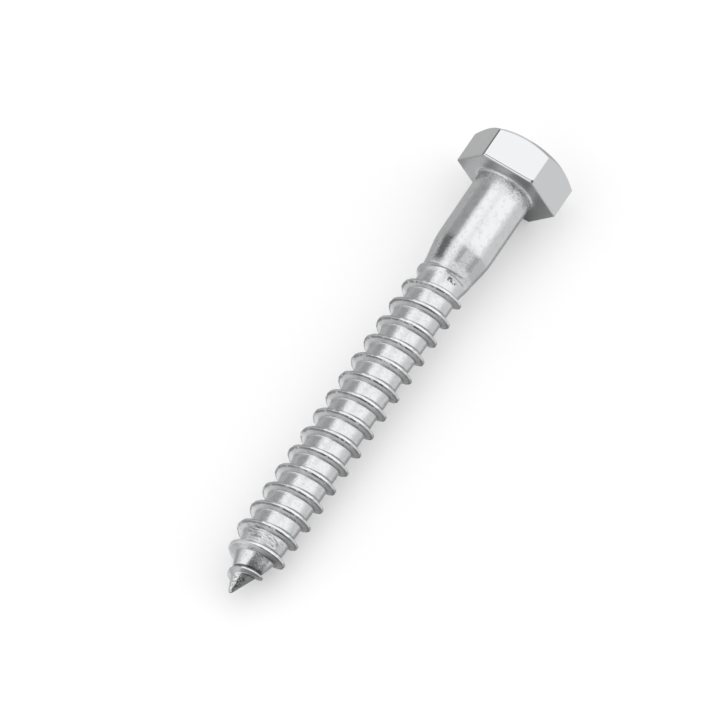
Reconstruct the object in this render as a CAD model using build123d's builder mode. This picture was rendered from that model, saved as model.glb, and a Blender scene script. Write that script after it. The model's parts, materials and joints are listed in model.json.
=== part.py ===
"""Hex lag screw, one rolled piece of plated steel, lying as it comes to rest.

The screw is first made upright about its own axis, with the tip of its point at the
origin, its head at the top and one flat of the head facing +X. It is then laid on the
opposite flat and on the first full crest of its thread, with the head towards +X.
"""

from build123d import *
from math import atan2, ceil, cos, degrees, radians, sin, tan
import os

# Head
across_flats = 14.3
head_height = 5.85
head_corner_round = 0.25
head_top_circle_d = 13.0
head_top_angle = 30
head_edge_break = 0.12
under_head_chamfer = 0.35

# Shank, taper and neck, from the bearing face down to the core that carries the thread
length_under_head = 74.9
shank_d = 8.9
plain_shank_length = 11.7
shank_corner_round = 6.0
taper_length = 4.7
taper_end_d = 7.43
neck_length = 1.7
core_d = 6.78

# Point, a steep cone and a shallower one that eases it into the core
point_length = 8.7
tip_d = 0.5
shoulder_d = 5.5
shoulder_height = 6.2

# Rolled thread, right-handed: a ridge that stands on the core
thread_major_d = 9.12
pitch = 3.424
tip_flank_angle = 20
head_flank_angle = 28
ridge_sink = 0.15
first_crest_height = 0.2

# Radii and heights above the tip that follow from the sizes
flat_radius = across_flats / 2
top_circle_radius = head_top_circle_d / 2
shank_radius = shank_d / 2
taper_end_radius = taper_end_d / 2
core_radius = core_d / 2
tip_radius = tip_d / 2
shoulder_radius = shoulder_d / 2
major_radius = thread_major_d / 2
full_ridge = major_radius - core_radius
taper_top = length_under_head - plain_shank_length
taper_end = taper_top - taper_length
neck_end = taper_end - neck_length
top_height = length_under_head + head_height

# Course of the ridge: height of its crest above the tip, and its share of the full ridge
sunk = -0.05
full_thread_start = point_length - 0.5
full_thread_end = neck_end - 2.8
ridge_course = [
    (0.14 * point_length, sunk),
    (0.32 * point_length, 0.53),
    (0.50 * point_length, 0.65),
    (shoulder_height, 1.0),
    (full_thread_start, 1.1),
    (point_length + 0.1, 1.0),
    (full_thread_end, 1.0),
    (neck_end - 1.15, 0.82),
    (neck_end + 0.4, 0.55),
    (neck_end + 1.85, 0.11),
    (neck_end + 2.5, sunk),
]


def body_radius(height):
    """Radius of the body that the ridge stands on, at a height above the tip."""
    if height < shoulder_height:
        return tip_radius + (shoulder_radius - tip_radius) * height / shoulder_height
    if height < point_length:
        share = (height - shoulder_height) / (point_length - shoulder_height)
        return shoulder_radius + (core_radius - shoulder_radius) * share
    share = min(max((height - neck_end) / neck_length, 0), 1)
    return core_radius + (taper_end_radius - core_radius) * share


def ridge_section(height, share):
    """Corners of the ridge in a plane through the axis, as (radius, height) points."""
    rise = share * full_ridge
    flank_height = rise + ridge_sink
    tip_base = height - flank_height * tan(radians(tip_flank_angle))
    head_base = height + flank_height * tan(radians(head_flank_angle))
    return [
        (body_radius(tip_base) - ridge_sink, tip_base),
        (body_radius(height) + rise, height),
        (body_radius(head_base) - ridge_sink, head_base),
    ]


def ridge_steps():
    """The course of the ridge in steps of at most one turn, as (height, share) pairs."""
    steps = [ridge_course[0]]
    for (start, start_share), (end, end_share) in zip(ridge_course, ridge_course[1:]):
        count = ceil((end - start) / pitch)
        for step in range(1, count + 1):
            height = start + (end - start) * step / count
            share = start_share + (end_share - start_share) * step / count
            steps.append((height, share))
    return steps


def helix_between(start, end, turns, start_angle):
    """Right-hand helix between two (radius, height) points, in a number of turns."""
    rise = end[1] - start[1]
    cone_angle = atan2(end[0] - start[0], rise)
    helix = Helix(
        pitch=rise / turns / cos(cone_angle),
        height=rise,
        radius=start[0],
        center=(0, 0, start[1]),
        cone_angle=degrees(cone_angle),
    )
    return helix.rotate(Axis.Z, start_angle).edge()


def ridge_end(section, angle):
    """Flat face that closes the ridge at one end."""
    corners = [(radius, 0, height) for radius, height in section]
    return Face(Wire.make_polygon(corners, close=True)).rotate(Axis.Z, angle)


def make_ridge():
    """The ridge of the thread, from its start on the point to its run-out on the taper."""
    steps = ridge_steps()
    sections = [ridge_section(height, share) for height, share in steps]
    angles = [(height - first_crest_height) / pitch * 360 for height, share in steps]
    faces = [ridge_end(sections[0], angles[0]), ridge_end(sections[-1], angles[-1])]
    for lower, upper, angle, next_angle in zip(sections, sections[1:], angles, angles[1:]):
        turns = (next_angle - angle) / 360
        lines = [helix_between(start, end, turns, angle) for start, end in zip(lower, upper)]
        for line, next_line in zip(lines, lines[1:] + lines[:1]):
            faces.append(Face.make_surface_from_curves(line, next_line))
    return Solid(Shell(faces))


with BuildPart() as upright:
    # Shank, taper, neck, core and point, turned in one
    with BuildSketch(Plane.XZ) as half_section:
        with BuildLine():
            tip_end = Line((0, 0), (tip_radius, 0))
            point_side = Line(tip_end @ 1, (shoulder_radius, shoulder_height))
            shoulder_side = Line(point_side @ 1, (core_radius, point_length))
            core_side = Line(shoulder_side @ 1, (core_radius, neck_end))
            neck = Line(core_side @ 1, (taper_end_radius, taper_end))
            taper = Line(neck @ 1, (shank_radius, taper_top))
            shank_side = Line(taper @ 1, (shank_radius, length_under_head))
            Polyline(shank_side @ 1, (0, length_under_head), tip_end @ 0)
        make_face()
        fillet(half_section.vertices().sort_by_distance(taper @ 1)[0], shank_corner_round)
    revolve(axis=Axis.Z)

    # Hexagon of the head, with rounded corners and a broken edge round its bearing face
    with BuildSketch(Plane.XY.offset(length_under_head)) as hexagon:
        RegularPolygon(flat_radius, side_count=6, major_radius=False, rotation=30)
        fillet(hexagon.vertices(), head_corner_round)
    extrude(amount=head_height)
    bearing = upright.faces().filter_by(Plane.XY).sort_by_distance((0, 0, length_under_head))[0]
    chamfer(bearing.outer_wire().edges(), head_edge_break)

    # Top of the head, turned to a cone that leaves a flat circle
    with BuildSketch(Plane.XZ):
        with BuildLine():
            top_edge = Line((top_circle_radius, top_height), (across_flats, top_height))
            cone_drop = (across_flats - top_circle_radius) * tan(radians(head_top_angle))
            Polyline(top_edge @ 1, (across_flats, top_height - cone_drop), top_edge @ 0)
        make_face()
    revolve(axis=Axis.Z, mode=Mode.SUBTRACT)

    # Cone that thickens the shank where it meets the bearing face
    circles = upright.edges().filter_by(GeomType.CIRCLE)
    chamfer(circles.sort_by_distance((shank_radius, 0, length_under_head))[0], under_head_chamfer)

    # Ridge of the thread
    add(make_ridge())

# The screw lies on one flat of its head and on the first full crest of its thread below
crest_below = first_crest_height + pitch / 2
crest_below += pitch * ceil((full_thread_start - crest_below) / pitch)
heel_height = length_under_head + head_edge_break
lean = atan2(flat_radius - major_radius, heel_height - crest_below)
tip_over_floor = major_radius * cos(lean) - crest_below * sin(lean)
head_reach = top_height * cos(lean) + top_circle_radius * sin(lean)
resting = Plane(
    origin=(-head_reach / 2, 0, tip_over_floor),
    x_dir=(-sin(lean), 0, cos(lean)),
    z_dir=(cos(lean), 0, sin(lean)),
)

with BuildPart(resting) as lag_screw:
    add(upright.part)

lag_screw.part.label = "lag_screw"
os.makedirs("parts", exist_ok=True)
export_step(lag_screw.part, "parts/lag_screw.step")
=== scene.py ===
"""Studio view of a zinc-plated hex lag screw that lies on a white table.

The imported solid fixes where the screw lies. One fine mesh stands for it: the same head,
shank, taper, rolled thread and point, with rounded crests, roots and edges. Sizes are in
millimetres in the screw's own frame, where the tip of the point is the origin, +Z runs
up the axis to the head and +X is the side that faces up as the screw lies.
"""

import json
import logging
import math
from dataclasses import dataclass, field
from enum import Enum
from functools import reduce

import bpy
import numpy as np
from mathutils import Matrix, Vector


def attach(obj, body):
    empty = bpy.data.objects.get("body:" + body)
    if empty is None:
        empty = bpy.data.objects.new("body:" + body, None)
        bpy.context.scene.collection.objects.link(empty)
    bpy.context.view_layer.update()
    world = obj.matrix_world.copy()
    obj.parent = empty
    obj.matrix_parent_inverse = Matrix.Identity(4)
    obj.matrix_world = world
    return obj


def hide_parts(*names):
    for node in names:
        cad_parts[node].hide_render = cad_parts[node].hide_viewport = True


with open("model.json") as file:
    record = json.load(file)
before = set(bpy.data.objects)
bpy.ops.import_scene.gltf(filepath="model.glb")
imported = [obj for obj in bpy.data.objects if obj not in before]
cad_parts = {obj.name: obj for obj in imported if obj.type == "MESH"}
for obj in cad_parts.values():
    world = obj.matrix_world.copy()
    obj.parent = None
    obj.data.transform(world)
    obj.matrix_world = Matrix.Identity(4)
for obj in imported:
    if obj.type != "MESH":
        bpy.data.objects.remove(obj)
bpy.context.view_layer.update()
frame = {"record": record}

MM = 0.001
log = logging.getLogger("lag_screw")

Socket = bpy.types.NodeSocket
# A line through (place, value) pairs.
Line = tuple[tuple[float, float], ...]
# The two ends of a smooth step: where it is 0 and where it is 1.
Edge = tuple[float, float]
# A stretch with soft ends: its low end, its high end and the width of each soft end.
Span = tuple[float, float, float]
# A colour by its red, green, blue and opacity.
Color = tuple[float, float, float, float]
# A noise by its waves to a unit, the number of its finer waves and their strength.
Noise = tuple[float, float, float]
# Two opposite corners of a rectangle.
Corners = tuple[tuple[float, float], tuple[float, float]]
# A row of points round the axis: its height and radius, for all columns or for each.
Row = tuple[float | np.ndarray, float | np.ndarray]


def read_off(place: np.ndarray | float, line: Line, period: float | None = None) -> np.ndarray:
    """Reads values off a line, which repeats after a period if it has one."""
    places, values = zip(*line)
    return np.interp(place, places, values, period=period)


class Side(Enum):
    """The two sides of a thread turn, by the way each one faces along the axis."""

    TIP = -1
    HEAD = 1


@dataclass
class Lie:
    """Where the screw lies: turns its own frame, in millimetres, into the row frame."""

    length_under_head: float

    def matrix(self) -> Matrix:
        """Works out the screw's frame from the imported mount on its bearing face.

        Returns:
            The matrix from the screw's frame, in millimetres, to the row frame, in metres.
        """
        mounts = {m["name"]: m for m in frame["record"]["mounts"]}
        bearing = mounts["bearing_face"]
        axis = -Vector(bearing["axis"]).normalized()
        up = (Vector((0, 0, 1)) - axis * axis.z).normalized()
        tip = Vector(bearing["pos_m"]) - axis * self.length_under_head * MM
        turn = Matrix((up, axis.cross(up), axis)).transposed()
        return Matrix.Translation(tip) @ turn.to_4x4() @ Matrix.Scale(MM, 4)


@dataclass
class Shaft:
    """Shank, taper, neck, core and point, turned about the axis, tip at height 0.

    The rounds of the taper and the point are given by their reach along the axis. Round
    the screw, the blank starts at the uneven heights of blank_starts, by share of a turn.
    """

    length_under_head: float = 74.9
    shank_radius: float = 4.45
    taper_top: float = 63.0
    taper_top_round: float = 0.9
    taper_end: float = 59.3
    taper_end_radius: float = 3.84
    taper_end_round: float = 0.35
    blank_radius: float = 3.7
    blank_low: float = 56.0
    blank_starts: Line = ((-0.468, 56.1), (0.06, 57.2), (0.2825, 56.6), (0.532, 56.1))
    neck_end: float = 56.8
    neck_length: float = 2.2
    core_radius: float = 3.41
    point_length: float = 7.45
    point_round: float = 2.83
    tip_radius: float = 0.25
    tip_round: float = 0.2

    def radius(self, height: np.ndarray | float, turns: np.ndarray | float = 0.0) -> np.ndarray:
        """Radius of the body: the rolled core below, and the blank above it.

        Args:
            height: Heights above the tip.
            turns: Places round the axis, as shares of a turn.

        Returns:
            The radius at each height and place.
        """
        rolled = self.outline(height, [
            (0.0, self.tip_radius, 0.0),
            (self.point_length, self.core_radius, self.point_round),
            (self.length_under_head, self.core_radius, 0.0),
        ])
        blank = self.outline(height, [
            (self.blank_low, self.blank_radius, 0.0),
            (self.taper_end, self.taper_end_radius, self.taper_end_round),
            (self.taper_top, self.shank_radius, self.taper_top_round),
            (self.length_under_head, self.shank_radius, 0.0),
        ])
        start = read_off(turns, self.blank_starts, period=1)
        share = np.clip((height - start) / self.neck_length, 0, 1)
        return rolled + (blank - rolled) * share * share * (3 - 2 * share)

    @staticmethod
    def outline(height: np.ndarray | float, corners: list[tuple[float, float, float]]) -> np.ndarray:
        """Radius of an outline of straight runs with rounded corners.

        Args:
            height: Heights above the tip.
            corners: A (height, radius, reach of its round along the axis) for each corner.

        Returns:
            The radius at each height.
        """
        radius = np.interp(height, [c[0] for c in corners], [c[1] for c in corners])
        for below, corner, above in zip(corners, corners[1:], corners[2:]):
            slope_below = (corner[1] - below[1]) / (corner[0] - below[0])
            slope_above = (above[1] - corner[1]) / (above[0] - corner[0])
            inside = np.clip(corner[2] - np.abs(height - corner[0]), 0, None)
            radius = radius - (slope_below - slope_above) * inside ** 2 / (4 * corner[2])
        return radius


@dataclass
class Thread:
    """The rolled ridge: a thin rounded crest, two flanks and a round at each root.

    The crest starts on the point as (height, radius) pairs, is full from full_from to
    full_below_neck under the neck's end, and runs out from there as (height above the
    neck's end, radius) pairs. By the height of the crest, bluntness draws out the tip side
    of the ridge on the point, and widening the whole ridge at its run-out.
    """

    shaft: Shaft
    major_radius: float = 4.51
    pitch: float = 3.424
    first_crest_height: float = 0.2
    start: Line = ((1.1, 0.6), (2.6, 1.83), (4.3, 2.67), (6.2, 3.88))
    full_from: float = 8.2
    full_below_neck: float = 2.8
    run_out: Line = ((-1.15, 4.35), (0.4, 4.11), (1.85, 3.87), (2.5, 3.7))
    crest_tip_side: float = 0.2
    crest_head_side: float = 0.07
    crest_round: float = 0.06
    crest_waver: float = 0.018
    waver_rates: tuple[float, ...] = (7.3, 17.9, 31.7, 47.1)
    root_round: float = 0.16
    tip_flank: float = 23.0
    head_flank: float = 25.0
    bluntness: Line = ((2.0, 2.6), (3.0, 2.3), (3.9, 1.4), (6.0, 1.0))
    widening: Line = ((56.3, 1.0), (57.6, 2.8), (58.3, 1.0))
    smallest_width_share: float = 0.2
    level_gain: float = 5.0
    arc_steps: int = 4
    root_steps: int = 4
    spare_turns: int = 2

    def course(self) -> Line:
        """Course of the crest up the screw.

        Returns:
            Its (height, radius) pairs.
        """
        neck = self.shaft.neck_end
        full = ((self.full_from, self.major_radius), (neck - self.full_below_neck, self.major_radius))
        return self.start + full + tuple((neck + above, radius) for above, radius in self.run_out)

    def rise(self, crest_height: np.ndarray, turns: np.ndarray) -> np.ndarray:
        """How far the crest stands over the body.

        Args:
            crest_height: Heights of the crest above the tip.
            turns: Places round the axis, as shares of a turn.

        Returns:
            The rise at each height, 0 before the start and after the run-out.
        """
        course = self.course()
        crest = read_off(crest_height, course)
        rise = np.clip(crest - self.shaft.radius(crest_height, turns), 0, None)
        outside = (crest_height < course[0][0]) | (crest_height > course[-1][0])
        return np.where(outside, 0, rise)

    def full_rise(self) -> float:
        """Height of the full ridge over the core."""
        return self.major_radius - self.shaft.core_radius

    def side_profile(self, side: Side) -> list[tuple[float, float]]:
        """One side of the full ridge, from its crest to the end of its root round.

        Args:
            side: The side that faces the tip or the head.

        Returns:
            Points as (offset along the axis, lift over the body).
        """
        on_tip_side = side is Side.TIP
        angle = math.radians(self.tip_flank if on_tip_side else self.head_flank)
        crest_flat = self.crest_tip_side if on_tip_side else self.crest_head_side
        turn = math.pi / 2 - angle
        crest_centre = self.full_rise() - self.crest_round
        points = []
        for step in range(self.arc_steps + 1):
            a = turn * step / self.arc_steps
            points.append((crest_flat + self.crest_round * math.sin(a),
                           crest_centre + self.crest_round * math.cos(a)))
        flank_top = points[-1]
        root_top = self.root_round * (1 - math.sin(angle))
        flank_end = flank_top[0] + (flank_top[1] - root_top) * math.tan(angle)
        root_centre = flank_end + self.root_round * math.cos(angle)
        for step in range(self.arc_steps + 1):
            a = turn * (1 - step / self.arc_steps)
            points.append((root_centre - self.root_round * math.sin(a),
                           self.root_round * (1 - math.cos(a))))
        return [(side.value * offset, lift) for offset, lift in points]

    def ridge(self, crest: np.ndarray, turns: np.ndarray) -> tuple[np.ndarray, np.ndarray]:
        """One turn of the ridge, from its tip-side root to its head-side root.

        Where the body slopes, the upper half of the ridge is kept level with its crest.

        Args:
            crest: Height of the crest at each column.
            turns: Each column's place round the axis, as a share of a turn.

        Returns:
            Heights, and lifts over the body, each by row and column.
        """
        profile = np.array(self.side_profile(Side.TIP)[::-1] + self.side_profile(Side.HEAD))
        offsets, lifts = profile[:, :1], profile[:, 1:]
        share = self.rise(crest, turns) / self.full_rise()
        width = np.clip(share, self.smallest_width_share, None) * read_off(crest, self.widening)
        reach = np.where(offsets < 0, read_off(crest, self.bluntness), 1.0) * width
        heights = crest + offsets * reach
        high = np.clip(lifts / self.full_rise() * 2 - 1, 0, 1)
        waver = self.crest_waver * sum(np.sin(crest * rate + rate) for rate in self.waver_rates)
        level = self.shaft.radius(crest, turns) - self.shaft.radius(heights, turns)
        kept_level = np.clip(share * self.level_gain, 0, 1)
        return heights, (lifts + high * waver) * share + high * level * kept_level

    def rows(self, turns: np.ndarray, lowest: float, highest: float) -> tuple[np.ndarray, np.ndarray, int]:
        """Rows of the threaded stretch, which follow the helix.

        Args:
            turns: Each column's place round the axis, as a share of a turn.
            lowest: Height that the rows start at.
            highest: Height that the rows end at.

        Returns:
            Heights and radii, each by row and column, and the number of rows to a turn.
        """
        first = math.floor((lowest - self.first_crest_height) / self.pitch) - self.spare_turns
        last = math.ceil((highest - self.first_crest_height) / self.pitch) + self.spare_turns
        ridges = [self.ridge(self.first_crest_height + (k + turns) * self.pitch, turns)
                  for k in range(first, last + 1)]
        gap_shares = np.arange(1, self.root_steps)[:, None] / self.root_steps
        height_rows, lift_rows = [], []
        for (heights, lifts), (next_heights, _) in zip(ridges, ridges[1:]):
            gap = next_heights[0] - heights[-1]
            height_rows += [heights, heights[-1] + gap_shares * gap]
            lift_rows += [lifts, np.zeros((len(gap_shares), len(turns)))]
        height = np.vstack(height_rows)
        radius = self.shaft.radius(height, turns) + np.vstack(lift_rows)
        return height, radius, len(ridges[0][0]) + len(gap_shares)


@dataclass
class HexHead:
    """The hexagonal head, from the fillet under it to its flat top.

    The rows of its faces are placed by shares of each face. The eased edge between the
    sides and the top's cone has (drop, inset) points, as shares of top_edge_round.
    """

    shaft: Shaft
    flat_radius: float = 7.15
    height: float = 5.85
    corner_round: float = 0.25
    top_circle_radius: float = 6.5
    top_angle: float = 30.0
    edge_round: float = 0.2
    top_edge_round: float = 0.12
    under_fillet: float = 0.4
    flat_columns: int = 16
    corner_columns: int = 6
    arc_steps: int = 4
    bearing_shares: tuple[float, ...] = (0.02, 0.35, 0.7, 0.98)
    side_shares: tuple[float, ...] = (0.03, 0.5, 0.94)
    eased_edge: Line = ((0.35, 0.03), (0.03, 0.32))
    eased_end: float = 0.95
    cone_shares: tuple[float, ...] = (0.3, 0.9)
    rim_drop: float = 0.006
    rim_outset: float = 0.03
    rim_insets: tuple[float, ...] = (0.08, 0.3)
    top_shares: tuple[float, ...] = (0.66, 0.33)

    def top(self) -> float:
        """Height of the flat top above the tip."""
        return self.shaft.length_under_head + self.height

    def slope(self) -> float:
        """Slope of the cone round the flat top."""
        return math.tan(math.radians(self.top_angle))

    def flat_reach(self) -> float:
        """Angle from the middle of a flat to the start of the corner's round."""
        side = (self.flat_radius - self.corner_round) * math.tan(math.pi / 6)
        return math.atan(side / self.flat_radius)

    def angles(self) -> np.ndarray:
        """Places of the columns round the axis, closer together at the six corners.

        Returns:
            Increasing angles in radians, from the start of the flat that faces +X.
        """
        reach = self.flat_reach()
        half_corner = math.pi / 6 - reach
        flat = np.linspace(-reach, reach, self.flat_columns + 1)[:-1]
        corner = reach + half_corner * np.arange(self.corner_columns) * 2 / self.corner_columns
        sector = np.concatenate([flat, corner])
        return np.concatenate([sector + math.pi / 3 * k for k in range(6)])

    def outline(self, angle: np.ndarray) -> np.ndarray:
        """Radius of the hexagon with rounded corners.

        Args:
            angle: Angles in radians from the middle of the flat that faces +X.

        Returns:
            The distance from the axis at each angle.
        """
        sector = math.pi / 3
        within = (angle + sector / 2) % sector - sector / 2
        flat = self.flat_radius / np.cos(within)
        centre = (self.flat_radius - self.corner_round) / math.cos(sector / 2)
        off = sector / 2 - np.abs(within)
        across = centre * np.sin(off)
        arc = centre * np.cos(off) + np.sqrt(np.clip(self.corner_round ** 2 - across ** 2, 0, None))
        in_corner = np.abs(within) > self.flat_reach()
        return np.where(in_corner, arc, flat)

    def rows(self, angle: np.ndarray) -> list[Row]:
        """Rows of the head, from the fillet's start on the shank to near the top's centre.

        Args:
            angle: Each column's angle in radians.

        Returns:
            The rows in order.
        """
        bearing = self.shaft.length_under_head
        hexagon = self.outline(angle)
        rows = []
        for step in range(1, self.arc_steps + 2):
            a = math.pi / 2 * step / (self.arc_steps + 1)
            rows.append((bearing - self.under_fillet * (1 - math.sin(a)),
                         self.shaft.shank_radius + self.under_fillet * (1 - math.cos(a))))
        inner = rows[-1][1]
        outer = hexagon - self.edge_round
        rows += [(bearing, inner + (outer - inner) * share) for share in self.bearing_shares]
        for step in range(self.arc_steps + 1):
            a = math.pi / 2 * step / self.arc_steps
            rows.append((bearing + self.edge_round * (1 - math.cos(a)),
                         outer + self.edge_round * math.sin(a)))

        low, top = bearing + self.edge_round, self.top()
        slope, ease, rim = self.slope(), self.top_edge_round, self.top_circle_radius
        cone_width = hexagon - rim
        shoulder = top - cone_width * slope
        rows += [(low + (shoulder - low) * share, hexagon) for share in self.side_shares]
        rows += [(shoulder - ease * drop, hexagon - ease * inset) for drop, inset in self.eased_edge]
        rows.append((shoulder + ease * slope * self.eased_end, hexagon - ease))
        rows += [(shoulder + cone_width * slope * share, hexagon - cone_width * share)
                 for share in self.cone_shares]
        rows.append((top - self.rim_drop, rim + self.rim_outset))
        rows += [(top, rim - inset) for inset in self.rim_insets]
        return rows + [(top, rim * share) for share in self.top_shares]


@dataclass
class Skin:
    """Points and faces of a closed skin, made ring by ring round the axis.

    angle holds each column's place round the axis, in radians.
    """

    angle: np.ndarray
    count: int = 0
    points: list[np.ndarray] = field(default_factory=list)
    faces: list[tuple[int, ...]] = field(default_factory=list)

    def add(self, angle: np.ndarray, radius: np.ndarray | float, height: np.ndarray | float) -> np.ndarray:
        """Adds points by their places round the axis.

        Args:
            angle: Their angles, in radians.
            radius: Their distances from the axis.
            height: Their heights.

        Returns:
            Their indices.
        """
        places = np.broadcast_arrays(radius * np.cos(angle), radius * np.sin(angle), height)
        self.points.append(np.column_stack(places))
        first = self.count
        self.count += len(angle)
        return np.arange(first, self.count)

    def ring(self, row: Row) -> np.ndarray:
        """Adds a ring with a point to each column, and gives the indices of its points."""
        height, radius = row
        return self.add(self.angle, radius, height)

    def face(self, *corners: int) -> None:
        """Adds a face by its corners' indices, without those that fall together."""
        self.faces.append(tuple(dict.fromkeys(int(corner) for corner in corners)))

    def join(self, rings: list[np.ndarray]) -> None:
        """Joins each ring to the next with a band of faces.

        Args:
            rings: Indices of each ring's points.
        """
        for below, above in zip(rings, rings[1:]):
            for corners in zip(below, np.roll(below, -1), np.roll(above, -1), above):
                self.face(*corners)

    def cap(self, rim: np.ndarray, height: float, side: Side) -> None:
        """Closes an end with a fan from a point on the axis.

        Args:
            rim: Indices of the ring round it.
            height: Height of the point on the axis.
            side: The way that the end faces.
        """
        centre = self.add(np.zeros(1), 0.0, height)[0]
        for here, there in zip(rim, np.roll(rim, -1)):
            self.face(centre, *(here, there)[::side.value])


@dataclass
class Screw:
    """The whole screw as one closed mesh."""

    shaft: Shaft = field(default_factory=Shaft)
    name: str = "plated_lag_screw"
    slot: str = "plated_steel"
    tip_steps: int = 3
    tip_rows: tuple[float, ...] = (0.256, 0.4, 0.6, 0.8)
    thread_start: float = 0.9
    thread_margin: float = 2.7
    taper_rows: int = 7
    taper_round_rows: int = 9
    taper_round_reach: float = 0.8
    shank_rows: int = 6
    row_gap: float = 0.2

    def __post_init__(self) -> None:
        """Makes the thread and the head that fit the shaft, and an empty skin."""
        self.thread = Thread(self.shaft)
        self.head = HexHead(self.shaft)
        self.skin = Skin(self.head.angles())

    def build(self) -> bpy.types.Object:
        """Makes the mesh object in the screw's own frame, in millimetres.

        Returns:
            The new object, linked to the scene.
        """
        bottom = self.add_tip()
        thread_end = self.shaft.neck_end + self.thread_margin
        top = self.skin.ring((thread_end, self.shaft.radius(thread_end)))
        self.add_thread(bottom, top, thread_end)
        self.add_upper_end(top, thread_end)
        mesh = bpy.data.meshes.new(self.name)
        faces = [face for face in self.skin.faces if len(face) > 2]
        mesh.from_pydata(np.vstack(self.skin.points).tolist(), [], faces)
        mesh.validate()
        mesh.polygons.foreach_set("use_smooth", [True] * len(mesh.polygons))
        made = bpy.data.objects.new(self.name, mesh)
        bpy.context.scene.collection.objects.link(made)
        return made

    def add_tip(self) -> np.ndarray:
        """Adds the rounded tip and the smooth start of the point.

        Returns:
            Indices of the ring where the thread starts.
        """
        rounding = self.shaft.tip_round
        rows = []
        for step in range(1, self.tip_steps + 1):
            a = math.pi / 2 * step / self.tip_steps
            rows.append((rounding * (1 - math.cos(a)),
                         self.shaft.tip_radius - rounding * (1 - math.sin(a))))
        rows += [(h, self.shaft.radius(h)) for h in (*self.tip_rows, self.thread_start)]
        rings = [self.skin.ring(row) for row in rows]
        self.skin.join(rings)
        self.skin.cap(rings[0], 0.0, Side.TIP)
        return rings[-1]

    def add_thread(self, bottom: np.ndarray, top: np.ndarray, top_height: float) -> None:
        """Adds the threaded stretch, whose rows climb with the helix.

        Args:
            bottom: Indices of the ring that it starts from.
            top: Indices of the ring that it ends at.
            top_height: Height of that ring.
        """
        skin = self.skin
        turns = skin.angle / (2 * math.pi)
        height, radius, per_turn = self.thread.rows(turns, self.thread_start, top_height)
        inside = (height > self.thread_start) & (height < top_height)
        ids = np.where(height <= self.thread_start, bottom, top)
        around = np.broadcast_to(skin.angle, height.shape)[inside]
        ids[inside] = skin.add(around, radius[inside], height[inside])
        for row in range(len(ids) - 1 - per_turn):
            for i in range(len(turns) - 1):
                skin.face(ids[row, i], ids[row, i + 1], ids[row + 1, i + 1], ids[row + 1, i])
            skin.face(ids[row, -1], ids[row + per_turn, 0], ids[row + per_turn + 1, 0], ids[row + 1, -1])

    def add_upper_end(self, bottom: np.ndarray, bottom_height: float) -> None:
        """Adds the taper, the shank and the head.

        Args:
            bottom: Indices of the ring that they start from.
            bottom_height: Height of that ring.
        """
        below_round = self.shaft.taper_top - self.taper_round_reach
        above_round = self.shaft.taper_top + self.taper_round_reach
        fillet_start = self.shaft.length_under_head - self.head.under_fillet
        heights = np.concatenate([
            np.linspace(bottom_height, below_round - self.row_gap, self.taper_rows)[1:],
            np.linspace(below_round, above_round, self.taper_round_rows),
            np.linspace(above_round + self.row_gap * 2, fillet_start, self.shank_rows),
        ])
        rows = [(h, self.shaft.radius(h)) for h in heights] + self.head.rows(self.skin.angle)
        rings = [bottom] + [self.skin.ring(row) for row in rows]
        self.skin.join(rings)
        self.skin.cap(rings[-1], self.head.top(), Side.HEAD)


class Sheet:
    """Short names for making and joining shader nodes in one node tree."""

    def __init__(self, tree: bpy.types.NodeTree) -> None:
        """Clears the tree and keeps it to be filled."""
        self.tree = tree
        tree.nodes.clear()

    def node(self, kind: str, *inputs: object, **settings: object) -> bpy.types.Node:
        """Adds a node.

        Args:
            kind: The node's type name.
            *inputs: Sockets or values for its inputs in order, None for one left as it is.
            **settings: Properties to set on it.

        Returns:
            The new node.
        """
        made = self.tree.nodes.new(kind)
        for name, value in settings.items():
            setattr(made, name, value)
        for source, socket in zip(inputs, made.inputs):
            if source is not None:
                self.join(source, socket)
        return made

    def join(self, source: object, socket: Socket) -> None:
        """Links a socket, or sets a plain value, on an input.

        Args:
            source: An output socket or a value.
            socket: The input to fill.
        """
        if isinstance(source, Socket):
            self.tree.links.new(source, socket)
        else:
            socket.default_value = source

    def math(self, operation: str, *values: object) -> Socket:
        """The result of a Math node for sockets or numbers."""
        return self.node("ShaderNodeMath", *values, operation=operation).outputs[0]

    def product(self, *values: object) -> Socket:
        """The product of sockets or numbers."""
        return reduce(lambda a, b: self.math("MULTIPLY", a, b), values)

    def largest(self, *values: object) -> Socket:
        """The largest of sockets or numbers."""
        return reduce(lambda a, b: self.math("MAXIMUM", a, b), values)

    def step(self, value: Socket, low: float, high: float) -> Socket:
        """A smooth step from 0 at low to 1 at high, which goes down if high is the lower."""
        ends = (high, low, 1.0, 0.0) if low > high else (low, high, 0.0, 1.0)
        return self.node("ShaderNodeMapRange", value, *ends, interpolation_type="SMOOTHSTEP").outputs[0]

    def window(self, value: Socket, low: float, high: float, soft: float) -> Socket:
        """1 between two limits and 0 outside, with edges of a soft width centred on them."""
        rise = self.step(value, low - soft / 2, low + soft / 2)
        return self.product(rise, self.step(value, high + soft / 2, high - soft / 2))

    def blend(self, share: Socket, a: object, b: object) -> Socket:
        """Sockets or numbers mixed by a share, which is 0 for a and 1 for b."""
        return self.node("ShaderNodeMix", share, None, a, b, data_type="FLOAT").outputs[0]

    def color_blend(self, share: Socket, a: object, b: object) -> Socket:
        """Sockets or colours mixed by a share, which is 0 for a and 1 for b."""
        others = (None,) * 5
        return self.node("ShaderNodeMix", share, *others, a, b, data_type="RGBA").outputs[2]

    def noise(self, vector: Socket, scale: float, detail: float, roughness: float) -> Socket:
        """A noise between 0 and 1, by its waves to a unit, its finer waves and their strength."""
        return self.node("ShaderNodeTexNoise", vector, None, scale, detail, roughness).outputs["Fac"]

    def part_along(self, vector: Socket, direction: Vector) -> Socket:
        """How far a vector reaches along a unit direction."""
        made = self.node("ShaderNodeVectorMath", vector, direction, operation="DOT_PRODUCT")
        return made.outputs["Value"]


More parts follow.
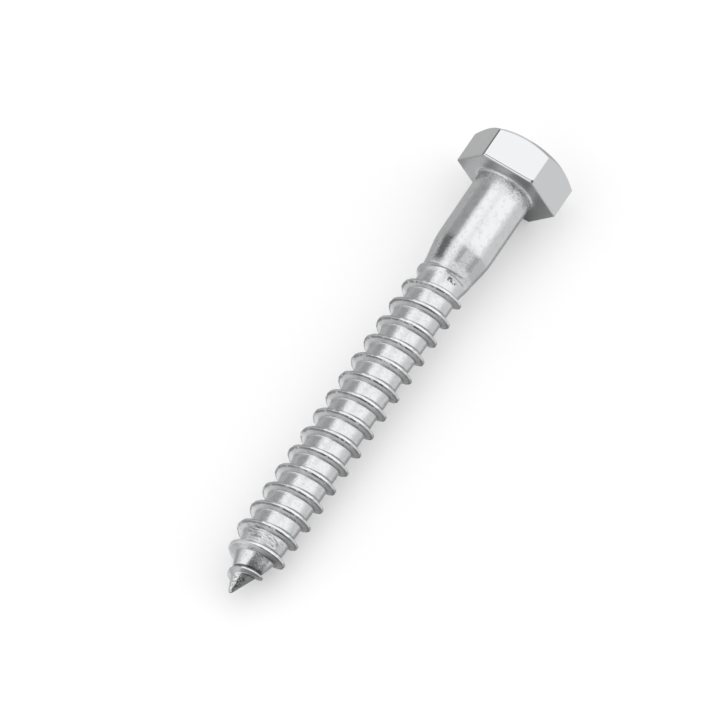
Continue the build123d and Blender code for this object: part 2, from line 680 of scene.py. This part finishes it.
@dataclass(frozen=True)
class Shade:
    """A painted shade: a darker patch of the plating's colour that stands in for shade and dark
    reflections, by how much it takes off and where it is.

    Its place is given round the screw's axis, in radians from the side that faces up,
    and along the axis, in millimetres above the tip or, on the ridge, above its crest.
    Noise moves its ends by up to half of ragged, in millimetres, and its sides by up to
    an eighth of ragged, in radians.
    """

    amount: float
    around: tuple[float, float]
    along: tuple[float, float]
    soft_around: float = 0.15
    soft_along: float = 0.4
    ragged: float = 0.0


class Pattern(Enum):
    """The noises that break up the dark marks."""

    GRAIN = "grain"
    STREAKS = "streaks"


@dataclass(frozen=True)
class Mark:
    """A group of dark marks, by its place and the part of a noise that shows in it."""

    amount: float
    pattern: Pattern
    shows: Edge
    heights: Span
    angles: Span


class Spot(Sheet):
    """The plating's nodes, with sockets that say where a point of it is.

    The place is in the screw's own frame, and from_crest runs up the axis from the nearest
    turn of the crest. The finish sets the sockets that say what the plating is like there.
    """

    grain: Socket
    moved: Socket
    broken: Socket
    coarse: Socket
    on_ridge: Socket
    under_head: Socket

    def __init__(self, tree: bpy.types.NodeTree, lie: Matrix, thread: Thread) -> None:
        """Clears the tree and finds the place.

        Args:
            tree: The node tree to fill.
            lie: The matrix from the screw's frame to the row frame.
            thread: The thread whose crest is followed.
        """
        super().__init__(tree)
        location, rotation, scale = lie.decompose()
        seen = self.node("ShaderNodeTexCoord").outputs["Object"]
        mapping = self.node("ShaderNodeMapping", seen, location, rotation.to_euler(), scale,
                            vector_type="TEXTURE")
        self.point = mapping.outputs["Vector"]
        parts = self.node("ShaderNodeSeparateXYZ", self.point).outputs
        self.height = parts["Z"]
        flat = self.node("ShaderNodeCombineXYZ", parts["X"], parts["Y"]).outputs[0]
        self.radius = self.node("ShaderNodeVectorMath", flat, operation="LENGTH").outputs["Value"]
        self.angle = self.math("ARCTAN2", parts["Y"], parts["X"])
        climb = self.math("SUBTRACT", self.height, thread.first_crest_height)
        climb = self.math("DIVIDE", climb, thread.pitch)
        turns = self.math("SUBTRACT", climb, self.math("DIVIDE", self.angle, 2 * math.pi))
        turns = self.math("SUBTRACT", self.math("FRACT", self.math("ADD", turns, 0.5)), 0.5)
        self.from_crest = self.product(turns, thread.pitch)


@dataclass(frozen=True)
class PlatedSteel:
    """Bright zinc plating on rolled steel: satin, faintly grainy, a little wavy. Its colour also carries
    painted light on the thread and painted shade on the taper, under the head and along creases and edges.

    Heights are above the tip and offsets above the nearest turn of the crest, both in
    millimetres. Angles are in radians from the side that faces up.
    """

    name: str = "zinc_plated_steel"
    color: Color = (0.612, 0.618, 0.626, 1.0)
    # Colour of the real marks and of the painted shade.
    dark_color: Color = (0.06, 0.06, 0.062, 1.0)
    # Painted shade under the head, where the plating is also rougher.
    under_head_shade_color: Color = (0.48, 0.484, 0.49, 1.0)
    # Painted light: a lighter colour on the thread's flanks and crest.
    painted_light_color: Color = (0.8, 0.806, 0.814, 1.0)
    roughness: float = 0.2
    roughness_spread: float = 0.25
    coarse_roughness: float = 0.08
    flank_roughness: float = 0.16
    dull_roughness: float = 0.34

    grain_noise: Noise = (2.6, 2.0, 0.7)
    wave_noise: Noise = (0.45, 1.0, 0.5)
    broken_noise: Noise = (1.1, 4.0, 0.75)
    streak_noise: Noise = (1.0, 3.0, 0.7)
    streaks_to_radian: float = 2.2
    streaks_to_mm: float = 5.0
    grain_depth: float = 0.018
    coarse_depth: float = 0.045
    face_depth: float = 0.002
    wave_depth: float = 0.02

    below_head: Edge = (75.0, 74.8)
    on_head: Edge = (75.0, 75.2)
    below_run_out: Edge = (55.8, 55.2)
    bearing_heights: Span = (74.2, 75.02, 0.1)
    bearing_radii: Edge = (4.5, 5.4)
    coarse_heights: tuple[Span, ...] = ((7.5, 10.0, 0.8), (58.6, 62.7, 0.6), (72.5, 75.0, 0.8))
    half_coarse: float = 0.5
    half_coarse_heights: Span = (3.2, 5.8, 0.6)
    half_coarse_radii: Edge = (3.6, 3.5)
    half_coarse_below: Edge = (60.0, 58.0)

    flank_radii: Span = (3.6, 4.38, 0.1)
    over_root: Edge = (3.5, 3.7)
    over_flank: Edge = (4.36, 4.42)
    # Shares of the painted light on the flanks and on the crest, by angle round the axis.
    flank_painted_light: float = 0.6
    full_painted_light_angles: Span = (-2.6, -0.6, 0.6)
    crest_painted_light: float = 0.25
    crest_painted_light_angles: Span = (-0.3, 0.9, 0.6)

    # Laps along the tip-side edge of the crest: partly real rolled laps, partly painted shade in that
    # crease, strongest over a stretch of angles.
    lap_shade_offsets: Span = (-0.39, -0.25, 0.05)
    lap_shade_radii: Edge = (4.0, 4.1)
    lap_shade_breaks: Edge = (0.4, 0.48)
    lap_shade_heights: Edge = (56.8, 56.4)
    lap_shade_angles: Span = (0.05, 0.65, 0.3)
    lap_shade_elsewhere: float = 0.65
    # Painted shade in the crease above the lowest turns of the ridge.
    crease_shade_offsets: Span = (0.3, 0.6, 0.14)
    crease_shade_heights: Span = (3.0, 5.3, 0.6)
    darkest: float = 0.9
    pit_grain: Edge = (0.0, 0.2)
    pit_amount: float = 0.3
    mottle_breaks: Edge = (0.48, 0.66)
    mottle_amount: float = 0.13
    # Painted shade on the outer part of the chamfer round the head's top.
    chamfer_depths: Edge = (0.1028, 0.0228)
    chamfer_radii: Edge = (6.55, 6.75)
    chamfer_shade_amount: float = 0.25
    ragged_around: float = 0.25

    marks: tuple[Mark, ...] = (
        Mark(0.75, Pattern.STREAKS, (0.48, 0.58), (7.9, 9.8, 0.5), (-0.8, 1.0, 0.5)),
        Mark(1.0, Pattern.GRAIN, (0.47, 0.53), (57.05, 57.75, 0.2), (0.32, 0.8, 0.1)),
        Mark(0.8, Pattern.STREAKS, (0.5, 0.56), (0.7, 2.7, 0.4), (-0.5, 1.1, 0.3)),
    )
    shades: tuple[Shade, ...] = (
        # Painted shade: dark reflections on the taper.
        Shade(0.84, (-0.70, -0.32), (59.0, 63.1), 0.24, 1.7, 1.0),
        Shade(0.46, (0.10, 0.30), (59.8, 62.5), 0.14, 0.7, 1.0),
        Shade(0.16, (0.0, 0.95), (59.7, 62.6), 0.2, 0.7, 1.0),
        Shade(0.5, (0.62, 0.95), (59.8, 62.5), 0.32, 0.7, 1.0),
        Shade(0.22, (0.93, 1.7), (59.4, 62.6), 0.06, 0.7, 0.6),
        # Painted shade on one side of the lowest turns of the thread.
        Shade(0.25, (-1.7, -0.75), (3.2, 6.5), 0.3, 0.8),
        # Painted shade: a dark line in the crease just above the run-out of the crest.
        Shade(0.55, (0.12, 1.15), (57.97, 58.12), 0.15, 0.1, 0.15),
        # Painted shade: a dark line down one corner of the upward flat, one along its lower edge, and a
        # short one at the foot of its other corner.
        Shade(0.75, (-0.548, -0.508), (75.0, 79.6), 0.012, 0.1),
        Shade(0.8, (-0.5, 0.5), (75.17, 75.28), 0.02, 0.06),
        Shade(0.9, (0.5, 0.545), (75.02, 75.42), 0.02, 0.1),
    )
    ridge_shades: tuple[Shade, ...] = (
        # Painted shade: in the creases at both roots of the ridge, on one side of its tip-side flank and
        # on one side of its crest.
        Shade(0.45, (0.35, 1.5), (0.58, 0.8), 0.5, 0.06, 0.1),
        Shade(0.5, (0.15, 1.7), (-0.82, -0.6), 0.5, 0.08, 0.1),
        Shade(0.28, (0.7, 1.75), (-0.62, -0.22), 0.5, 0.15, 0.1),
        Shade(0.28, (-0.3, 0.0), (-0.1, 0.2), 0.15, 0.1, 0.15),
    )

    def build(self, lie: Matrix, screw: Screw) -> bpy.types.Material:
        """Makes the material.

        Args:
            lie: The matrix from the screw's frame to the row frame.
            screw: The screw whose thread and head the marks follow.

        Returns:
            The new material.
        """
        made = bpy.data.materials.new(self.name)
        made.use_nodes = True
        spot = Spot(made.node_tree, lie, screw.thread)
        spot.grain = spot.noise(spot.point, *self.grain_noise)
        spot.moved = spot.math("SUBTRACT", spot.grain, 0.5)
        spot.broken = spot.noise(spot.point, *self.broken_noise)
        spot.on_ridge = spot.step(spot.height, *self.below_run_out)
        spot.under_head = spot.product(spot.window(spot.height, *self.bearing_heights),
                                       spot.step(spot.radius, *self.bearing_radii))
        in_root = spot.product(spot.step(spot.radius, *self.half_coarse_radii), self.half_coarse,
                               spot.step(spot.height, *self.half_coarse_below))
        on_cone = spot.product(spot.window(spot.height, *self.half_coarse_heights), self.half_coarse)
        full = [spot.window(spot.height, *heights) for heights in self.coarse_heights]
        spot.coarse = spot.largest(*full, in_root, on_cone)
        shader = spot.node("ShaderNodeBsdfPrincipled", self.color, 1.0)
        dark = self.darkness(spot, screw.head)
        spot.join(spot.color_blend(dark, self.tint(spot), self.dark_color), shader.inputs["Base Color"])
        spot.join(self.satin(spot), shader.inputs["Roughness"])
        spot.join(self.relief(spot), shader.inputs["Normal"])
        spot.node("ShaderNodeOutputMaterial", shader.outputs["BSDF"])
        return made

    def relief(self, spot: Spot) -> Socket:
        """Adds the grain and the slow waves of the rolled surface.

        Args:
            spot: The material's nodes.

        Returns:
            The normal's socket.
        """
        depth = spot.blend(spot.coarse, self.grain_depth, self.coarse_depth)
        depth = spot.blend(spot.step(spot.height, *self.on_head), depth, self.face_depth)
        wave = spot.noise(spot.point, *self.wave_noise)
        fine = spot.product(spot.grain, depth)
        bump = spot.node("ShaderNodeBump")
        bump.inputs["Strength"].default_value = 1.0
        bump.inputs["Distance"].default_value = MM
        spot.join(spot.math("MULTIPLY_ADD", wave, self.wave_depth, fine), bump.inputs["Height"])
        return bump.outputs["Normal"]

    def tint(self, spot: Spot) -> Socket:
        """Colours the plating: painted shade under the head and painted light on the thread's flanks and
        crest.

        Args:
            spot: The material's nodes.

        Returns:
            The colour's socket.
        """
        # Painted light on the thread's flanks and crest.
        on_flank = spot.blend(spot.window(spot.angle, *self.full_painted_light_angles), self.flank_painted_light, 1.0)
        on_crest = spot.product(spot.window(spot.angle, *self.crest_painted_light_angles), self.crest_painted_light)
        painted_light = spot.product(spot.blend(spot.step(spot.radius, *self.over_flank), on_flank, on_crest),
                             spot.step(spot.radius, *self.over_root), spot.on_ridge)
        # Painted shade in the colour under the head.
        shaded_under_head = spot.color_blend(spot.under_head, self.color, self.under_head_shade_color)
        return spot.color_blend(painted_light, shaded_under_head, self.painted_light_color)

    def satin(self, spot: Spot) -> Socket:
        """Roughens the plating a little where it is coarse, and on the flanks.

        Args:
            spot: The material's nodes.

        Returns:
            The roughness's socket.
        """
        spread = self.roughness * self.roughness_spread
        rough = spot.blend(spot.grain, self.roughness - spread, self.roughness + spread)
        rough = spot.math("MULTIPLY_ADD", spot.coarse, self.coarse_roughness, rough)
        on_flank = spot.product(spot.window(spot.radius, *self.flank_radii), spot.on_ridge)
        rough = spot.math("MULTIPLY_ADD", on_flank, self.flank_roughness, rough)
        return spot.blend(spot.under_head, rough, self.dull_roughness)

    def darkness(self, spot: Spot, head: HexHead) -> Socket:
        """Darkens the plating by the strongest real mark or painted shade at each point.

        Args:
            spot: The material's nodes.
            head: The head, for the painted shade on its chamfer.

        Returns:
            The share's socket, 0 for clean and 1 for dark.
        """
        pits = spot.product(spot.coarse, spot.step(spot.moved, *self.pit_grain), self.pit_amount)
        mottle = spot.product(spot.step(spot.broken, *self.mottle_breaks),
                              spot.step(spot.height, *self.below_head), self.mottle_amount)
        on_cone = spot.math("MULTIPLY_ADD", spot.radius, head.slope(), spot.height)
        cone = head.top() + head.top_circle_radius * head.slope()
        # Painted shade on the chamfer round the head's top.
        chamfer_shade = spot.product(spot.step(on_cone, *(cone - depth for depth in self.chamfer_depths)),
                               spot.step(spot.radius, *self.chamfer_radii), self.chamfer_shade_amount)
        # Painted shades on the body and on the ridge.
        on_body = [self.shaded(spot, shade, spot.height) for shade in self.shades]
        on_ridge = [self.shaded(spot, shade, spot.from_crest) for shade in self.ridge_shades]
        return spot.largest(
            spot.product(spot.largest(*self.marks_and_crease_shades(spot)), self.darkest),
            pits,
            mottle,
            *on_body,
            *(spot.product(share, spot.on_ridge) for share in on_ridge),
            chamfer_shade,
        )

    def marks_and_crease_shades(self, spot: Spot) -> list[Socket]:
        """Adds the laps along the crest, partly real and partly painted shade, the painted shade in the
        crease on the point, and real scuffs and nicks.

        Args:
            spot: The material's nodes.

        Returns:
            A socket for each, 0 for clean and 1 for dark.
        """
        # Laps: partly real rolled laps, partly painted shade in the crease at the crest's edge.
        lap_shade = spot.product(
            spot.window(spot.from_crest, *self.lap_shade_offsets),
            spot.step(spot.radius, *self.lap_shade_radii),
            spot.step(spot.broken, *self.lap_shade_breaks),
            spot.step(spot.height, *self.lap_shade_heights),
            spot.blend(spot.window(spot.angle, *self.lap_shade_angles), self.lap_shade_elsewhere, 1.0),
        )
        # Painted shade in the crease on the point.
        crease_shade = spot.product(spot.window(spot.from_crest, *self.crease_shade_offsets),
                              spot.window(spot.height, *self.crease_shade_heights))
        drawn = spot.node("ShaderNodeCombineXYZ", spot.product(spot.angle, self.streaks_to_radian),
                          None, spot.product(spot.height, self.streaks_to_mm))
        streaks = spot.noise(drawn.outputs[0], *self.streak_noise)
        noises = {Pattern.GRAIN: spot.grain, Pattern.STREAKS: streaks}
        groups = [
            spot.product(
                spot.window(spot.height, *mark.heights),
                spot.window(spot.angle, *mark.angles),
                spot.step(noises[mark.pattern], *mark.shows),
                mark.amount,
            )
            for mark in self.marks
        ]
        return [lap_shade, crease_shade, *groups]

    def shaded(self, spot: Spot, shade: Shade, along: Socket) -> Socket:
        """Adds one painted shade.

        Args:
            spot: The material's nodes.
            shade: The painted shade.
            along: The point's place along the axis, as the painted shade gives it.

        Returns:
            The share's socket, 0 for clean and 1 for dark.
        """
        around = spot.math("MULTIPLY_ADD", spot.moved, shade.ragged * self.ragged_around, spot.angle)
        along = spot.math("MULTIPLY_ADD", spot.moved, shade.ragged, along)
        return spot.product(
            spot.window(around, *shade.around, shade.soft_around),
            spot.window(along, *shade.along, shade.soft_along),
            shade.amount,
        )


@dataclass(frozen=True)
class Facing:
    """Directions round the screw and of the image, in the row frame."""

    axis: Vector
    front: Vector
    right: Vector
    back: Vector
    image_right: Vector
    image_up: Vector


@dataclass(frozen=True)
class Panel:
    """A soft light panel or dark screen, as the screw sees it.

    Its place is given round the screw's axis, in degrees from the side that faces the
    camera, and along the axis, as the cosine of the angle to it.
    """

    level: float
    around: tuple[float, float]
    along: tuple[float, float]
    soft_around: float
    soft_along: float


@dataclass(frozen=True)
class StudioSky:
    """A white tent round the table, with panels and screens."""

    level: float = 1.0
    panels: tuple[Panel, ...] = (
        Panel(1.47, (-48, 66), (0.17, 0.75), 22, 0.1),
        Panel(1.3, (-16, 4), (0.17, 0.75), 14, 0.1),
        Panel(1.45, (-49, -14), (-0.3, 0.17), 16, 0.1),
        Panel(0.47, (-103, -53), (0.18, 0.85), 14, 0.1),
        Panel(0.6, (-130, -78), (-0.54, -0.25), 12, 0.06),
        Panel(1.45, (-78, -12), (-0.54, -0.25), 12, 0.06),
        Panel(0.13, (-11, 120), (-0.6, -0.22), 8, 0.06),
    )

    def build(self, facing: Facing) -> bpy.types.World:
        """Makes the world.

        Args:
            facing: The directions that the panels are placed by.

        Returns:
            The new world, set on the scene.
        """
        world = bpy.data.worlds.new("studio_tent")
        world.use_nodes = True
        sheet = Sheet(world.node_tree)
        looked_at = sheet.node("ShaderNodeTexCoord").outputs["Generated"]
        along = sheet.part_along(looked_at, facing.axis)
        around = sheet.math("ARCTAN2", sheet.part_along(looked_at, facing.right),
                            sheet.part_along(looked_at, facing.front))
        around = sheet.math("DEGREES", around)
        level: object = self.level
        for panel in self.panels:
            share = sheet.product(
                sheet.window(around, *panel.around, panel.soft_around),
                sheet.window(along, *panel.along, panel.soft_along),
            )
            level = sheet.blend(share, level, panel.level)
        background = sheet.node("ShaderNodeBackground", (1.0, 1.0, 1.0, 1.0), level)
        sheet.node("ShaderNodeOutputWorld", background.outputs[0])
        bpy.context.scene.world = world
        return world


@dataclass(frozen=True)
class PhotoCamera:
    """A long-lens view of the screw, placed by where it lies in the photograph.

    tip_pixel is where the tip of the point is in the photograph. The angles, in degrees,
    are the axis's rise over the image's horizontal, its tilt towards the camera at the
    head, and the turn of the view round the axis from the side that faces up.
    """

    name: str = "photo_camera"
    image_size: float = 720.0
    pixels_per_mm: float = 6.97
    tip_pixel: tuple[float, float] = (229.33, 592.75)
    axis_over_horizontal: float = 55.636
    axis_tilt: float = 20.34
    roll: float = 11.72
    distance: float = 0.5
    clip: tuple[float, float] = (0.01, 5.0)

    def facing(self, lie: Matrix) -> Facing:
        """Works out the view's directions.

        Args:
            lie: The matrix from the screw's frame to the row frame.

        Returns:
            The directions round the screw and of the image.
        """
        up, side, axis = (lie.col[k].xyz.normalized() for k in range(3))
        roll, tilt = math.radians(self.roll), math.radians(self.axis_tilt)
        line = math.radians(self.axis_over_horizontal)
        front = math.cos(roll) * up + math.sin(roll) * side
        right = -math.sin(roll) * up + math.cos(roll) * side
        along = axis * math.cos(tilt) + front * math.sin(tilt)
        return Facing(
            axis=axis,
            front=front,
            right=right,
            back=front * math.cos(tilt) - axis * math.sin(tilt),
            image_right=math.cos(line) * along + math.sin(line) * right,
            image_up=math.sin(line) * along - math.cos(line) * right,
        )

    def build(self, lie: Matrix) -> bpy.types.Object:
        """Makes the camera and sets it on the scene.

        Args:
            lie: The matrix from the screw's frame to the row frame.

        Returns:
            The camera object.
        """
        facing = self.facing(lie)
        data = bpy.data.cameras.new(self.name)
        data.type = "ORTHO"
        pixel = MM / self.pixels_per_mm
        data.ortho_scale = self.image_size * pixel
        data.clip_start, data.clip_end = self.clip
        half = self.image_size / 2
        centre = (lie.translation + facing.image_right * (half - self.tip_pixel[0]) * pixel
                  - facing.image_up * (half - self.tip_pixel[1]) * pixel)
        camera = bpy.data.objects.new(self.name, data)
        camera.matrix_world = Matrix((
            (*facing.image_right, 0), (*facing.image_up, 0), (*facing.back, 0), (0, 0, 0, 1),
        )).transposed()
        camera.location = centre + facing.back * self.distance
        bpy.context.scene.collection.objects.link(camera)
        bpy.context.scene.camera = camera
        return camera


@dataclass(frozen=True)
class Card:
    """A matt grey card on the table, by its grey and two opposite corners."""

    grey: float
    corners: Corners


@dataclass(frozen=True)
class Table:
    """The white table that the screw lies on, and the grey cards that its metal mirrors."""

    width: float = 4.0
    white: float = 0.72
    glow: float = 0.28
    card_lift: float = 0.0003
    cards: tuple[Card, ...] = (
        Card(0.6, ((-2.0, -0.009), (2.0, 0.003))),
        Card(0.6, ((-2.0, 0.0082), (2.0, 2.0))),
        Card(0.87, ((-0.034, -2.0), (2.0, -0.012))),
        Card(0.3, ((-2.0, -2.0), (-0.035, -0.003))),
    )

    def build(self) -> bpy.types.Object:
        """Makes the table top, which isn't part of the object.

        It glows only as the camera and the metal see it, so that it looks white.

        Returns:
            The table object.
        """
        half = self.width / 2
        table = self.flat("white_table", ((-half, -half), (half, half)), 0.0)
        sheet = Sheet(table.active_material.node_tree)
        matt = sheet.node("ShaderNodeBsdfDiffuse", (self.white, self.white, self.white, 1.0))
        ray = sheet.node("ShaderNodeLightPath").outputs
        seen = sheet.math("ADD", ray["Is Camera Ray"], ray["Is Glossy Ray"])
        seen = sheet.math("ADD", seen, ray["Is Transmission Ray"])
        glow = sheet.node("ShaderNodeEmission", None, sheet.product(seen, self.glow))
        both = sheet.node("ShaderNodeAddShader", matt.outputs[0], glow.outputs[0])
        sheet.node("ShaderNodeOutputMaterial", both.outputs[0])
        return table

    def build_cards(self) -> None:
        """Makes the matt grey cards that dim the table in the screw's reflections."""
        for count, given in enumerate(self.cards, 1):
            card = self.flat(f"grey_card_{count}", given.corners, self.card_lift * count)
            sheet = Sheet(card.active_material.node_tree)
            matt = sheet.node("ShaderNodeBsdfDiffuse", (given.grey, given.grey, given.grey, 1.0))
            sheet.node("ShaderNodeOutputMaterial", matt.outputs[0])
            card.visible_camera = False
            card.visible_diffuse = False
            card.visible_shadow = False

    @staticmethod
    def flat(name: str, corners: Corners, height: float) -> bpy.types.Object:
        """Makes a flat rectangle with a material of its own.

        Args:
            name: Name of the object and its material.
            corners: Two opposite corners.
            height: Its height.

        Returns:
            The new object.
        """
        (x0, y0), (x1, y1) = corners
        mesh = bpy.data.meshes.new(name)
        points = [(x0, y0, height), (x1, y0, height), (x1, y1, height), (x0, y1, height)]
        mesh.from_pydata(points, [], [(0, 1, 2, 3)])
        material = bpy.data.materials.new(name)
        material.use_nodes = True
        mesh.materials.append(material)
        made = bpy.data.objects.new(name, mesh)
        bpy.context.scene.collection.objects.link(made)
        return made


def main() -> None:
    """Builds the screw, the table, the camera and the light."""
    logging.basicConfig(level=logging.INFO)
    screw = Screw()
    lie = Lie(screw.shaft.length_under_head).matrix()
    body = screw.build()
    body.data.transform(lie)
    body.data.materials.append(PlatedSteel().build(lie, screw))
    even = body.modifiers.new("even_normals", "WEIGHTED_NORMAL")
    even.keep_sharp = False
    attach(body, "root")
    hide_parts("lag_screw")
    log.info("%s: %d faces", body.name, len(body.data.polygons))
    table = Table()
    log.info("%s, with %d grey cards", table.build().name, len(table.cards))
    table.build_cards()
    camera = PhotoCamera()
    log.info("%s", camera.build(lie).name)
    log.info("%s", StudioSky().build(camera.facing(lie)).name)
    bpy.context.scene.view_settings.view_transform = "Standard"


if __name__ == "__main__":
    main()
